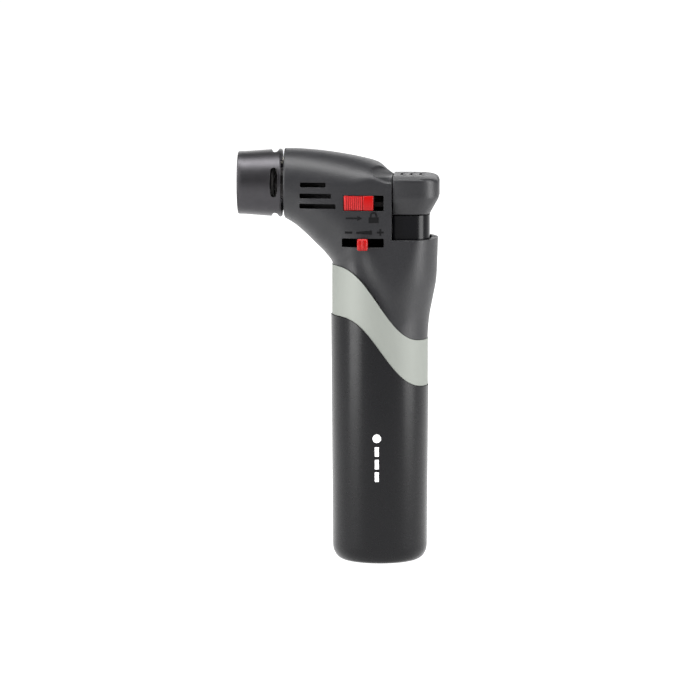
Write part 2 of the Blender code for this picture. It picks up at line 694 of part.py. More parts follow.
def make_fill_valve():
    place = Matrix.Translation((FILL_X, 0, 0))
    body = [(2.6, 9.2), (2.6, 1.7), (3.1, 1.7), (3.1, 0.7), (1.3, 0.7), (1.3, 2.2), (1.9, 2.2),
            (1.9, 9.2)]
    finish(turned("fill_valve_body", body, place, 20), BRASS)
    stem = [(0, 8.8), (0.75, 8.8), (0.75, 4.0), (1.6, 4.0), (1.6, 3.3), (0.9, 3.3), (0.9, 0.5),
            (0, 0.5)]
    finish(turned("fill_valve_stem", stem, place, 16, closed=False), BRASS, (FILL_X, 0, 0.5))
    finish(coil("fill_valve_spring", (FILL_X, 0), 1.3, 0.17, 4.2, 8.9, 5), STEEL)
    seal = turned("fill_valve_seal", [(1.65, 3.1), (1.65, 2.4), (1.1, 2.4), (1.1, 3.1)], place, 20)
    finish(seal, RUBBER)


# ---------------------------------------------------------------- build

clear_scene()
PARTS = make_collection("butane_torch")
PLASTIC = material("black_plastic", (0.045, 0.044, 0.05), 0.5)
GLOSS_BLACK = material("gloss_black", (0.012, 0.012, 0.014), 0.22)
SILVER = material("silver", (0.62, 0.63, 0.62), 0.3, 0.8)
BLACK_CHROME = material("black_chrome", (0.05, 0.05, 0.055), 0.18, 1.0)
DARK_METAL = material("dark_metal", (0.03, 0.03, 0.03), 0.4, 0.8)
STEEL = material("steel", (0.6, 0.6, 0.6), 0.3, 1.0)
BRASS = material("brass", (0.72, 0.55, 0.25), 0.3, 1.0)
RED = material("red_plastic", (0.55, 0.02, 0.02), 0.4)
RUBBER = material("black_rubber", (0.02, 0.02, 0.02), 0.8)
CERAMIC = material("ceramic", (0.85, 0.83, 0.78), 0.4)
SINTERED = material("sintered_filter", (0.7, 0.68, 0.6), 0.8)
WHITE_PLASTIC = material("white_plastic", (0.8, 0.8, 0.78), 0.45)
GREY_PLASTIC = material("grey_plastic", (0.25, 0.25, 0.26), 0.5)
CLEAR_TANK = material("smoky_plastic", (0.2, 0.2, 0.22), 0.15)
CLEAR_TUBE = material("tube_plastic", (0.75, 0.75, 0.7), 0.3)

make_shells()
make_screws()
make_band()
make_sleeve()
make_guard()
make_burner()
make_spark_parts()
make_button()
make_lock_slider()
make_flame_lever()
make_gas_lever()
make_valve()
make_piezo()
make_tank()
make_fill_valve()
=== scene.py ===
"""Looks of the butane torch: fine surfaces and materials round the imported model.

Sizes below are in millimetres, in the CAD model's frame. Each finished mesh is scaled to metres.
"""
import math

import bpy
import bmesh
from mathutils import Matrix, Vector


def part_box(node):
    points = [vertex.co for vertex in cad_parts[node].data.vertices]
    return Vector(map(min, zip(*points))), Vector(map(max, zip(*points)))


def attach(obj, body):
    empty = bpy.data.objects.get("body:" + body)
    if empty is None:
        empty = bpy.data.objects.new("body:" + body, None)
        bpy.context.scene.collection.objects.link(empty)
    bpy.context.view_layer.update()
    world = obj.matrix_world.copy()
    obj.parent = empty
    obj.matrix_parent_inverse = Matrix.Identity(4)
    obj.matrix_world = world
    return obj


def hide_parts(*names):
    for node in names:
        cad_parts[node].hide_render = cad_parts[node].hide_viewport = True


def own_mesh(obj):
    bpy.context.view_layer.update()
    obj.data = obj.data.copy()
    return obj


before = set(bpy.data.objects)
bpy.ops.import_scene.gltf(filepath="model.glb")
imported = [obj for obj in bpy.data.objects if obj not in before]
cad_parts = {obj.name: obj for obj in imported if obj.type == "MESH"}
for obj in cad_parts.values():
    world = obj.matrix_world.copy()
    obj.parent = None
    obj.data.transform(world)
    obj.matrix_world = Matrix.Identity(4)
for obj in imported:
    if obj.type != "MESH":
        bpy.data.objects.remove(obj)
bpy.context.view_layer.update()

MM = 0.001


# ---------------------------------------------------------------- the frame's own sizes

def node_box(name):
    """A CAD node's lowest and highest corners, in millimetres."""
    low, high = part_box(name)
    return Vector(low) / MM, Vector(high) / MM


BAND_RADIUS = node_box("trim_band")[1].y
BAND_INNER = BAND_RADIUS - 0.7
SLEEVE_TOP_RADIUS = 14.05
SLEEVE_WALL = 0.9
SKIRT_RADIUS = BAND_INNER - 0.3
BAND_GAP = 0.12
WALL = 1.4
SPLIT_GAP = 0.04
BARREL_RADIUS = 9.87
BURNER_Z = 107.9
SPARK_Z = 114.2
NECK_RADIUS = node_box("burner_mount")[1].y - 0.7
GUARD_FRONT = node_box("wind_guard")[0].x
GUARD_REAR = -27.9
GUARD_SLOT_X = -29.85
GUARD_SLOT_TURN = -5
SEAM_X = 3.6
BUTTON_X = node_box("thumb_button")[1].x - 12.93
LANDING_Z = 110.25
COLLAR_Z = 92.6
CAP_TOP = node_box("thumb_button")[1].z
CAP_HALF = 11.0
CAP_ROLL_Z = 109.0
CAP_SLOPE_Z = 109.92
CAP_BOTTOM = node_box("thumb_button")[0].z
STEM_REAR = node_box("button_stem")[1].x
STEM_HALF = node_box("button_stem")[1].y
STEM_CORNER = 6.0
STEM_BOTTOM = 91.5
FOOT_BOTTOM = node_box("button_stem")[0].z
LOCK_SLOT = (-10.1, 1.4)
LOCK_Z = 103.1
LOCK_SLOT_HEIGHT = 4.43
LOCK_BLOCK = (-9.85, -1.55)
FLAME_SLOT = (-10.4, 1.5)
FLAME_Z = 91.9
FLAME_SLOT_HEIGHT = 2.54
VALVE_X = -4.5
LEVER_PIVOT = (-0.6, 95.2)
FILL_X = 4.6
SCREWS = ((-20.5, 98.5), (-10.8, 87.5), (1.3, 86.5))
SCREW_BOSS = 2.5
VENTS = ((108.1, -22.35, -15.0), (105.0, -22.45, -13.45), (102.1, -22.5, -12.15))
VENT_HEIGHT = 1.4

# The shell's sections, as in the CAD model: inner edge (x, z), outer edge (x, z), half depths
# at the two edges, and the radii of the two edges.
SECTIONS = (
    (-27.2, 98.03, -27.2, 117.77, 9.87, 9.87, 9.87, 9.87),
    (-23.9, 96.0, -22.6, 117.7, 10.1, 10.1, 10.3, 9.9),
    (-20.5, 93.0, -17.0, 117.25, 10.8, 10.4, 10.8, 9.8),
    (-18.2, 90.7, -11.4, 116.5, 11.6, 10.7, 11.6, 9.4),
    (-16.3, 88.9, -5.5, 115.4, 12.3, 10.9, 12.3, 8.5),
    (-15.0, 87.4, -0.5, 113.95, 12.8, 11.0, 12.8, 5.5),
    (-14.2, 86.4, 3.6, 111.0, 13.1, 11.0, 13.0, 3.2),
    (-13.8, 85.8, 9.5, 110.6, 13.2, 11.0, 13.2, 3.0),
    (-13.6, 85.2, 14.6, 109.9, 13.3, 11.0, 13.3, 3.5),
    (-13.5, 84.7, 16.6, 106.5, 13.35, 11.1, 13.3, 5.0),
    (-13.4, 84.2, 16.7, 100.0, 13.4, 11.3, 13.4, 6.5),
    (-13.4, 83.6, 16.5, 92.5, 13.4, 11.9, 13.4, 8.0),
    (-13.4, 82.0, 16.3, 86.0, 13.4, 12.6, 13.4, 9.5),
    (-13.4, 79.0, 16.0, 80.5, 13.4, 13.1, 13.4, 11.5),
    (-13.4, 75.0, 15.1, 75.5, 13.4, 13.4, 13.4, 13.0),
    (-13.4, 70.0, 14.15, 70.5, 13.4, 13.4, 13.4, 13.4),
    (-13.4, 65.0, 13.65, 65.0, 13.4, 13.4, 13.4, 13.4),
    (-13.4, 56.0, 13.4, 56.0, 13.4, 13.4, 13.4, 13.4),
    (-13.4, 44.0, 13.4, 44.0, 13.4, 13.4, 13.4, 13.4),
)

# The soft crease on each cheek of the shell: (x, z, depth, half width)
CREASE = ((-4.7, 90.2, 0.2, 1.2), (-4.7, 87.8, 0.45, 1.4), (-4.4, 85.4, 0.7, 1.8),
          (-3.2, 82.2, 0.95, 2.3), (-1.6, 79.2, 0.95, 2.6), (0.2, 76.2, 0.8, 2.8),
          (2.4, 72.7, 0.6, 2.9), (4.4, 70.0, 0.35, 2.8), (7.0, 67.4, 0.0, 2.5))

ALONG_X = Matrix.Translation((0, 0, BURNER_Z)) @ Matrix.Rotation(math.radians(90), 4, "Y")


# ---------------------------------------------------------------- mesh helpers

def add_object(name, data):
    obj = bpy.data.objects.new(name, data)
    bpy.context.scene.collection.objects.link(obj)
    return obj


def mesh_object(name, cage):
    bmesh.ops.recalc_face_normals(cage, faces=cage.faces)
    mesh = bpy.data.meshes.new(name)
    cage.to_mesh(mesh)
    cage.free()
    return add_object(name, mesh)


def bake(obj):
    """Replace an object's mesh by its evaluated mesh."""
    bpy.context.view_layer.update()
    graph = bpy.context.evaluated_depsgraph_get()
    mesh = bpy.data.meshes.new_from_object(obj.evaluated_get(graph))
    obj.modifiers.clear()
    obj.data = mesh
    return obj


def boolean(target, other, operation="DIFFERENCE"):
    modifier = target.modifiers.new(operation.lower(), "BOOLEAN")
    modifier.operation = operation
    modifier.object = other
    modifier.solver = "MANIFOLD"
    bake(target)
    bpy.data.objects.remove(other)
    return target


def cut(target, *others):
    for other in others:
        boolean(target, other)
    return target


def join(target, *others):
    for other in others:
        boolean(target, other, "UNION")
    return target


def block(name, low, high):
    low, high = Vector(low), Vector(high)
    cage = bmesh.new()
    bmesh.ops.create_cube(cage, size=1.0, matrix=Matrix.LocRotScale(
        (low + high) / 2, None, high - low))
    return mesh_object(name, cage)


def soft_block(name, low, high, edge, segments=3):
    """A block with all its edges rounded."""
    obj = block(name, low, high)
    bevel = obj.modifiers.new("edges", "BEVEL")
    bevel.width = edge
    bevel.segments = segments
    return bake(obj)


def rod(name, start, end, radius, sides=48):
    start, end = Vector(start), Vector(end)
    turn = (end - start).to_track_quat("Z", "Y")
    cage = bmesh.new()
    bmesh.ops.create_cone(cage, cap_ends=True, segments=sides, radius1=radius, radius2=radius,
                          depth=(end - start).length,
                          matrix=Matrix.LocRotScale((start + end) / 2, turn, None))
    return mesh_object(name, cage)


def turned(name, profile, place=Matrix(), sides=144, closed=True):
    """Turn a profile of (radius, height) points about Z, then place it."""
    cage = bmesh.new()
    verts = [cage.verts.new((radius, 0, height)) for radius, height in profile]
    for a, b in zip(verts, verts[1:]):
        cage.edges.new((a, b))
    if closed:
        cage.edges.new((verts[-1], verts[0]))
    mesh = bpy.data.meshes.new(name)
    cage.to_mesh(mesh)
    cage.free()
    obj = add_object(name, mesh)
    screw = obj.modifiers.new("turn", "SCREW")
    screw.steps = screw.render_steps = sides
    screw.use_merge_vertices = True
    screw.merge_threshold = 0.0001
    bake(obj)
    cage = bmesh.new()
    cage.from_mesh(obj.data)
    bmesh.ops.recalc_face_normals(cage, faces=cage.faces)
    cage.transform(place)
    cage.to_mesh(obj.data)
    cage.free()
    return obj


def rounded(profile, radius, steps=5):
    """Round each corner of a closed profile, as far as its neighbours allow."""
    result = []
    count = len(profile)
    for i in range(count):
        before, here, after = (Vector(profile[(i + k) % count]) for k in (-1, 0, 1))
        reach = min(radius, (before - here).length * 0.45, (after - here).length * 0.45)
        start = here + (before - here).normalized() * reach
        end = here + (after - here).normalized() * reach
        for step in range(steps + 1):
            t = step / steps
            point = start * (1 - t) ** 2 + here * 2 * t * (1 - t) + end * t * t
            result.append(tuple(point))
    return result


def prism(name, outline, thickness, place=Matrix()):
    """A flat outline in XY, thickened both ways from the plane, then placed."""
    half = thickness / 2
    rings = [[(x, y, z) for x, y in outline] for z in (-half, half)]
    obj = loft(name, rings)
    obj.data.transform(place)
    return obj


def loft(name, rings):
    """Close a row of equal-length rings of points into one solid."""
    cage = bmesh.new()
    rows = [[cage.verts.new(point) for point in ring] for ring in rings]
    count = len(rows[0])
    for row, following in zip(rows, rows[1:]):
        for i in range(count):
            j = (i + 1) % count
            cage.faces.new((row[i], row[j], following[j], following[i]))
    cage.faces.new(rows[0])
    cage.faces.new(list(reversed(rows[-1])))
    return mesh_object(name, cage)


def finish(obj, mat, body="root", replaces=(), sharp=40):
    """Scale a piece to metres, shade it, give it its material and tell the frame about it."""
    obj.data.transform(Matrix.Scale(MM, 4))
    obj.data.materials.clear()
    obj.data.materials.append(mat)
    obj.data.shade_smooth()
    obj.data.set_sharp_from_angle(angle=math.radians(sharp))
    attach(obj, body)
    if replaces:
        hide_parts(*replaces)
    return obj


# ---------------------------------------------------------------- materials

def srgb(*levels):
    """Linear colour from 0-255 display levels."""
    return tuple((v / 255 / 12.92) if v <= 10 else ((v / 255 + 0.055) / 1.055) ** 2.4
                 for v in levels)


# How far each kind of surface softens its sharp edges in shading, in metres
EDGE_MOULDED = 0.00014
EDGE_POLISHED = 0.0001
EDGE_METAL = 0.00008


class Surface:
    """A Principled material with short helpers for its procedural detail."""

    def __init__(self, name, colour, roughness, metallic=0.0, specular=0.5):
        self.material = bpy.data.materials.new(name)
        self.material.use_nodes = True
        self.tree = self.material.node_tree
        self.shader = self.tree.nodes["Principled BSDF"]
        self.colour = colour
        self.shader.inputs["Base Color"].default_value = (*colour, 1.0)
        self.shader.inputs["Roughness"].default_value = roughness
        self.shader.inputs["Metallic"].default_value = metallic
        self.shader.inputs["Specular IOR Level"].default_value = specular
        self.roughness = roughness
        self.height = None
        self.coords = self.tree.nodes.new("ShaderNodeTexCoord").outputs["Object"]

    def link(self, source, target):
        self.tree.links.new(source, target)

    def noise(self, scale, detail=3.0, stretch=None):
        """Noise by size: scale is the number of grains in a metre."""
        node = self.tree.nodes.new("ShaderNodeTexNoise")
        node.inputs["Scale"].default_value = scale
        node.inputs["Detail"].default_value = detail
        source = self.coords
        if stretch:
            mapping = self.tree.nodes.new("ShaderNodeMapping")
            mapping.inputs["Scale"].default_value = stretch
            self.link(source, mapping.inputs["Vector"])
            source = mapping.outputs["Vector"]
        self.link(source, node.inputs["Vector"])
        return node.outputs["Fac"]

    def cells(self, scale):
        node = self.tree.nodes.new("ShaderNodeTexVoronoi")
        node.inputs["Scale"].default_value = scale
        self.link(self.coords, node.inputs["Vector"])
        return node.outputs["Distance"]

    def ramp(self, source, low, high, start=0.3, end=0.7):
        """Map a 0-1 value to the span low..high."""
        node = self.tree.nodes.new("ShaderNodeMapRange")
        node.inputs["From Min"].default_value = start
        node.inputs["From Max"].default_value = end
        node.inputs["To Min"].default_value = low
        node.inputs["To Max"].default_value = high
        self.link(source, node.inputs["Value"])
        return node.outputs["Result"]

    def vary_roughness(self, source, spread):
        value = self.ramp(source, self.roughness - spread, self.roughness + spread)
        self.link(value, self.shader.inputs["Roughness"])
        return self

    def vary_colour(self, source, factor):
        """Blend between a darker and a lighter tone of the colour."""
        mix = self.tree.nodes.new("ShaderNodeMix")
        mix.data_type = "RGBA"
        mix.inputs["A"].default_value = (*(c / factor for c in self.colour), 1.0)
        mix.inputs["B"].default_value = (*(min(c * factor, 1.0) for c in self.colour), 1.0)
        self.link(self.ramp(source, 0.0, 1.0), mix.inputs["Factor"])
        self.link(mix.outputs["Result"], self.shader.inputs["Base Color"])
        return self

    def lighten_sharp_edges(self, colour, amount):
        """Lighter colour where the surface is sharply convex."""
        geometry = self.tree.nodes.new("ShaderNodeNewGeometry")
        convex_lift = self.ramp(geometry.outputs["Pointiness"], 0.0, amount, 0.53, 0.62)
        mix = self.tree.nodes.new("ShaderNodeMix")
        mix.data_type = "RGBA"
        base = self.shader.inputs["Base Color"]
        if base.links:
            self.link(base.links[0].from_socket, mix.inputs["A"])
        else:
            mix.inputs["A"].default_value = base.default_value
        mix.inputs["B"].default_value = (*colour, 1.0)
        self.link(convex_lift, mix.inputs["Factor"])
        self.link(mix.outputs["Result"], base)
        return self

    def bump(self, source, strength, distance, edge):
        """Surface relief; edge is the radius that softens sharp edges in shading."""
        node = self.tree.nodes.new("ShaderNodeBump")
        node.inputs["Strength"].default_value = strength
        node.inputs["Distance"].default_value = distance
        self.link(source, node.inputs["Height"])
        bevel = self.tree.nodes.new("ShaderNodeBevel")
        bevel.samples = 4
        bevel.inputs["Radius"].default_value = edge
        self.link(bevel.outputs["Normal"], node.inputs["Normal"])
        self.link(node.outputs["Normal"], self.shader.inputs["Normal"])
        return self


def moulded_plastic(name, colour, roughness, edge=EDGE_MOULDED, specular=0.5):
    surface = Surface(name, colour, roughness, specular=specular)
    grain = surface.noise(3600, 4.0)
    surface.vary_colour(surface.noise(2200, 4.0), 1.12)
    surface.vary_roughness(surface.noise(2600, 3.0), 0.05)
    surface.lighten_sharp_edges(tuple(c * 1.5 for c in colour), 0.5)
    return surface.bump(grain, 0.5, 0.00009, edge).material


def polished_plastic(name, colour, roughness, specular=0.5):
    surface = Surface(name, colour, roughness, specular=specular)
    surface.vary_colour(surface.noise(120, 2.0), 1.08)
    surface.vary_roughness(surface.noise(300, 2.0), 0.015)
    return surface.bump(surface.noise(250, 1.0), 0.02, 0.000004, EDGE_POLISHED).material


def metal(name, colour, roughness, stretch=(1, 1, 1)):
    surface = Surface(name, colour, roughness, 1.0)
    brushed = surface.noise(9000, 3.0, stretch)
    surface.vary_colour(surface.noise(400, 3.0), 1.06)
    surface.vary_roughness(brushed, 0.04)
    return surface.bump(brushed, 0.05, 0.000004, EDGE_METAL).material


def flake_paint(name, colour, roughness):
    """Satin silver paint with fine flakes in it."""
    surface = Surface(name, colour, roughness, 0.15, specular=0.25)
    surface.vary_colour(surface.cells(14000), 1.05)
    surface.vary_roughness(surface.noise(6000, 2.0), 0.05)
    return surface.bump(surface.noise(5000, 2.0), 0.06, 0.00001, EDGE_POLISHED).material


HOUSING = moulded_plastic("housing_plastic", srgb(24, 24, 26), 0.42, specular=0.28)
BUTTON_PLASTIC = moulded_plastic("button_plastic_fine", srgb(23, 23, 25), 0.42, specular=0.3)
SLEEVE = polished_plastic("sleeve_plastic", srgb(7, 7, 9), 0.27, 0.17)
STEM = polished_plastic("stem_plastic", srgb(4, 4, 6), 0.2, 0.12)
BAND = flake_paint("band_paint", srgb(113, 116, 111), 0.58)
GUARD = metal("guard_chrome", srgb(56, 55, 57), 0.4, (0.15, 1, 1))
RED = polished_plastic("red_plastic_gloss", srgb(132, 4, 4), 0.3, 0.2)
RED_RIBBED = moulded_plastic("red_plastic_ribbed", srgb(142, 14, 15), 0.42, 0.00005, 0.3)
DARK_METAL = metal("burner_metal", srgb(58, 56, 56), 0.38)
STEEL = metal("plain_steel", srgb(178, 178, 180), 0.28)
SPRING = metal("spring_wire", srgb(165, 165, 168), 0.25)
BRASS = metal("turned_brass", srgb(200, 168, 96), 0.25)
MARKS = moulded_plastic("moulded_marks", srgb(6, 6, 7), 0.8, specular=0.1)
# Near-black plastic for what lies inside the slots and vents (the slider's base, the lever's hub
# and arm, the sheets behind the vents): its dark tone is painted shade for those insides.
RECESS_SHADE = moulded_plastic("recess_shade_plastic", srgb(7, 7, 8), 0.85)
PRINT = moulded_plastic("white_print", srgb(226, 226, 226), 0.5, 0.00002)
# Near-black matte surface for the guard's plate and the mixing tube: painted shade for the
# inside of the guard seen through its slots.
GUARD_INSIDE_SHADE = moulded_plastic("guard_inside_shade", srgb(15, 14, 12), 0.9)
CERAMIC = polished_plastic("glazed_ceramic", srgb(226, 222, 210), 0.25)
JACKET = moulded_plastic("wire_jacket_rubber", srgb(24, 24, 24), 0.7)
WHITE = moulded_plastic("piezo_plastic", srgb(222, 221, 216), 0.4)
GREY = moulded_plastic("lid_plastic", srgb(120, 120, 122), 0.5)
TANK = polished_plastic("tank_smoke", srgb(110, 112, 116), 0.18)
TUBE = polished_plastic("tube_clear", srgb(214, 212, 200), 0.3)
FILTER = moulded_plastic("sintered", srgb(190, 186, 170), 0.8)
RUBBER = moulded_plastic("seal_rubber_black", srgb(26, 26, 26), 0.75)

KEPT_NODES = {
    # guard_plate and mixing_tube get the near-black surface, painted shade for the guard's
    # inside.
    "guard_plate": GUARD_INSIDE_SHADE, "burner_mount": DARK_METAL, "burner_tube": DARK_METAL,
    "flame_holder": BRASS, "mixing_tube": GUARD_INSIDE_SHADE, "gas_jet": BRASS,
    "electrode_insulator": CERAMIC, "spark_electrode": STEEL, "spark_wire": JACKET,
    "gas_lever": STEEL, "lever_pin": STEEL, "valve_body": BRASS, "valve_filter": FILTER,
    "valve_seal": RUBBER, "valve_stem": BRASS, "gas_tube": TUBE,
    "piezo_case": WHITE, "piezo_contact": BRASS, "piezo_crystal": CERAMIC,
    "piezo_anvil": STEEL, "piezo_hammer": STEEL, "piezo_plunger": WHITE,
    "fuel_tank": TANK, "tank_lid": GREY, "lid_gasket": RUBBER,
    "fill_valve_body": BRASS, "fill_valve_stem": BRASS, "fill_valve_seal": RUBBER,
    "housing_screw_1": STEEL, "housing_screw_2": STEEL, "housing_screw_3": STEEL,
}


def dress_kept_nodes():
    for name, mat in KEPT_NODES.items():
        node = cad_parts[name]
        for slot in node.material_slots:
            slot.material = mat


# ---------------------------------------------------------------- shared outlines

def s_step(u):
    u = max(-1.0, min(1.0, u))
    return 1.875 * u - 1.25 * u ** 3 + 0.375 * u ** 5


def band_top(x):
    return 74.3 - 10.6 * s_step(x / 13.7)


def band_bottom(x):
    return 60.6 - 10.1 * s_step((x - 1.0) / 13.7)


def wave_cutter(name, edge, offset, far_z, steps=120, reach=16.07):
    """All that lies between a wavy edge z = edge(x) + offset and the height far_z."""
    xs = [0.03 - reach + 2 * reach * i / steps for i in range(steps + 1)]
    outline = [(x, edge(x) + offset) for x in xs] + [(xs[-1], far_z), (xs[0], far_z)]
    return prism(name, outline, 40.0, Matrix.Rotation(math.radians(90), 4, "X"))


def button_outline(rear, half, corner, front=BUTTON_X, edge=0.0, steps=14):
    """Plan outline of the button: square at the front, rounded at the two rear corners."""
    arc = []
    for i in range(steps + 1):
        angle = math.radians(90) * i / steps
        arc.append((rear - corner + corner * math.sin(angle),
                    half - corner + corner * math.cos(angle)))
    if edge:
        arc = [(front, half - edge), (front + edge * 0.3, half - edge * 0.3),
               (front + edge, half)] + arc
    else:
        arc = [(front, half)] + arc
    return [(x, -y) for x, y in arc] + list(reversed(arc))


def section_values(t):
    """Catmull-Rom blend of the shell's sections at t, counted in sections."""
    i = min(int(t), len(SECTIONS) - 2)
    u = t - i
    rows = [SECTIONS[min(max(i + k, 0), len(SECTIONS) - 1)] for k in (-1, 0, 1, 2)]
    return [0.5 * (2 * b + (c - a) * u + (2 * a - 5 * b + 4 * c - d) * u * u
                   + (3 * b - a - 3 * c + d) * u ** 3) for a, b, c, d in zip(*rows)]


def crease_depth(x, z):
    """How deep the cheek's crease is at a point of the side view."""
    best = 0.0
    for (x1, z1, deep1, wide1), (x2, z2, deep2, wide2) in zip(CREASE, CREASE[1:]):
        run, rise = x2 - x1, z2 - z1
        along = ((x - x1) * run + (z - z1) * rise) / (run ** 2 + rise ** 2)
        along = min(max(along, 0.0), 1.0)
        away = math.hypot(x - x1 - along * run, z - z1 - along * rise)
        deep = deep1 + along * (deep2 - deep1)
        wide = wide1 + along * (wide2 - wide1)
        best = max(best, deep * math.exp(-(away / wide) ** 2))
    return best


def section_ring(t, inset, arc, flat):
    """Closed ring of points round one section of the shell, moved in by inset."""
    in_x, in_z, out_x, out_z, in_half, out_half, in_edge, out_edge = section_values(t)
    inner, outer = Vector((in_x, in_z)), Vector((out_x, out_z))
    along = (outer - inner).normalized()
    inner, outer = inner + along * inset, outer - along * inset
    length = (outer - inner).length
    in_edge = min(in_edge - inset, length / 2)
    out_edge = min(max(out_edge - inset, 1.0), length / 2)
    side = []
    for i in range(arc + 1):
        angle = math.radians(90) * i / arc
        side.append((in_edge * (1 - math.cos(angle)), math.sin(angle)))
    for i in range(1, flat):
        side.append((in_edge + (length - in_edge - out_edge) * i / flat, 1.0))
    for i in range(arc + 1):
        angle = math.radians(90) * (1 - i / arc)
        side.append((length - out_edge * (1 - math.cos(angle)), math.sin(angle)))
    half = []
    for s, share in side:
        width = in_half + (out_half - in_half) * s / length - inset
        place = inner + along * s
        crease = 0.0 if inset else crease_depth(place.x, place.y) * share
        half.append((place.x, share * width - crease, place.y))
    back = [(x, -y, z) for x, y, z in reversed(half[1:-1])]
    return half + back


def shell_loft(name, inset, start, per_section=10, arc=18, flat=12, front_edge=0.0):
    count = (len(SECTIONS) - 1) * per_section
    steps = [i / per_section for i in range(count + 1)]
    rings = [section_ring(t, inset, arc, flat) for t in steps if t > start]
    rings = [section_ring(start, inset, arc, flat)] + rings
    if front_edge:
        rings = front_lip(rings[0], front_edge) + rings[1:]
    return loft(name, rings)


def front_lip(ring, edge, steps=4):
    """Rings that roll the barrel's front face into its side."""
    rows = []
    for i in range(steps + 1):
        angle = math.radians(90) * i / steps
        inset = edge * (1 - math.sin(angle))
        shift = edge * (1 - math.cos(angle))
        shrink = 1 - inset / BARREL_RADIUS
        rows.append([(x + shift, y * shrink, BURNER_Z + (z - BURNER_Z) * shrink)
                     for x, y, z in ring])
    return rows


# ---------------------------------------------------------------- shell halves

def shell_cavity():
    cavity = shell_loft("cavity", WALL, 0.45, 1, 4, 2)
    cut(cavity, block("rear_wall", (SEAM_X - WALL, -20, COLLAR_Z - WALL), (30, 20, 130)))
    cut(cavity, block("landing_floor", (-4.2, -20, LANDING_Z - WALL), (30, 20, 130)))
    cut(cavity, block("rib", (-23.4, 0, 80), (-11.6, 1.3, 104.3)))
    for x, z in SCREWS:
        cut(cavity, rod("boss", (x, -20, z), (x, 20, z), SCREW_BOSS))
    x, z = LEVER_PIVOT
    for side in (-1, 1):
        cut(cavity, rod("boss", (x, 2.7 * side, z), (x, 20 * side, z), 1.5, 24))
    return cavity


def skirt():
    ring = rod("skirt", (0, 0, 40), (0, 0, 95), SKIRT_RADIUS, 96)
    cut(ring, wave_cutter("below", band_bottom, -3.0, 20))
    cut(ring, wave_cutter("above", band_top, 0.8, 120))
    return ring


def slot_cutter(low_x, high_x, z, height, near_y, far_y, corner):
    """A slot's cutter along Y, with rounded corners."""
    half = height / 2
    outline = rounded([(low_x, z - half), (high_x, z - half), (high_x, z + half),
                       (low_x, z + half)], corner, 4)
    middle = (near_y + far_y) / 2
    place = Matrix.Translation((0, middle, 0)) @ Matrix.Rotation(math.radians(90), 4, "X")
    return prism("slot", outline, abs(far_y - near_y), place)


def cut_slots(shell):
    for z, left, right in VENTS:
        cut(shell, slot_cutter(left, right, z, VENT_HEIGHT, -20, 20, 0.3))
    cut(shell, slot_cutter(*LOCK_SLOT, LOCK_Z, LOCK_SLOT_HEIGHT, -20, -8, 0.25))
    cut(shell, slot_cutter(*FLAME_SLOT, FLAME_Z, FLAME_SLOT_HEIGHT, -20, -8, 0.25))
    cut(shell, block("peg_slot", (0, -1.6, 95.9), (6, 1.6, 102.8)))
    cut(shell, block("finger_slot", (0, -9.6, 101.6), (6, -8.2, 103.6)))


def cut_holes(shell):
    cut(shell, rod("neck_hole", (-35, 0, BURNER_Z), (-20, 0, BURNER_Z), NECK_RADIUS + 0.3))
    cut(shell, rod("spark_hole", (-35, 0, SPARK_Z), (-20, 0, SPARK_Z), 1.3, 24))
    for x, z in SCREWS:
        cut(shell, rod("pilot", (x, -6.4, z), (x, 20, z), 1.2, 32))
        cut(shell, rod("counterbore", (x, 4.9, z), (x, 20, z), 1.9))
    x, z = LEVER_PIVOT
    cut(shell, rod("pin_hole", (x, -6, z), (x, 6, z), 0.8, 24))


def landing_cutter(side, fillet=2.5, start=-1.2):
    """One side of the V-shaped thumb landing, rising into the hump with a hollow fillet."""
    rings = []
    for rise in (0.0, 0.04, 0.15, 0.35, 0.7, 1.15, 1.8, fillet, 9.0):
        below = min(rise, fillet)
        reach = start + math.sqrt(2 * fillet * below - below ** 2) + (rise - below) * 0.2
        x, y = -0.86 * reach, -0.51 * reach * side
        rings.append([(-1.0 + x, 8.5 * side + y, LANDING_Z + rise),
                      (6.0 + x, -3.3 * side + y, LANDING_Z + rise),
                      (14.0, 16.0 * side, LANDING_Z + rise),
                      (-1.0 + x, 16.0 * side, LANDING_Z + rise)])
    return loft("landing", rings)


def cut_landing(shell):
    for side in (-1, 1):
        cut(shell, landing_cutter(side))


def make_shells():
    shell = shell_loft("shell", 0.0, 0.0, front_edge=0.45)
    cut(shell, wave_cutter("lower", band_top, BAND_GAP, 20))
    join(shell, skirt())
    cut(shell, shell_cavity(), rod("tank_room", (0, 0, 30), (0, 0, 66), SKIRT_RADIUS - 0.7, 96))
    cut(shell, block("pocket", (SEAM_X, -20, COLLAR_Z), (30, 20, 130)))
    outline = button_outline(STEM_REAR + 0.4, STEM_HALF + 0.4, STEM_CORNER + 0.4, SEAM_X - 0.05)
    cut(shell, prism("stem_hole", outline, 8.0, Matrix.Translation((0, 0, COLLAR_Z - 3.6))))
    cut_landing(shell)
    cut_slots(shell)
    cut_holes(shell)
    for side, low, high in (("left", -30, -SPLIT_GAP), ("right", SPLIT_GAP, 30)):
        half = add_object(f"{side}_housing_shell", shell.data.copy())
        boolean(half, block("side", (-60, low, 0), (60, high, 140)), "INTERSECT")
        finish(half, HOUSING, "root", (f"{side}_housing",))
    bpy.data.objects.remove(shell)


def make_vent_shade_sheets():
    """Near-black sheets behind the vents of each half: painted shade for the vents' insides."""
    for side, low, high in (("left", -6.3, -6.0), ("right", 6.0, 6.3)):
        shade_sheet = block(f"{side}_vent_screen", (-23.4, low, 99.6), (-11.7, high, 109.9))
        finish(shade_sheet, RECESS_SHADE, "root", ())


# ---------------------------------------------------------------- band, sleeve and print

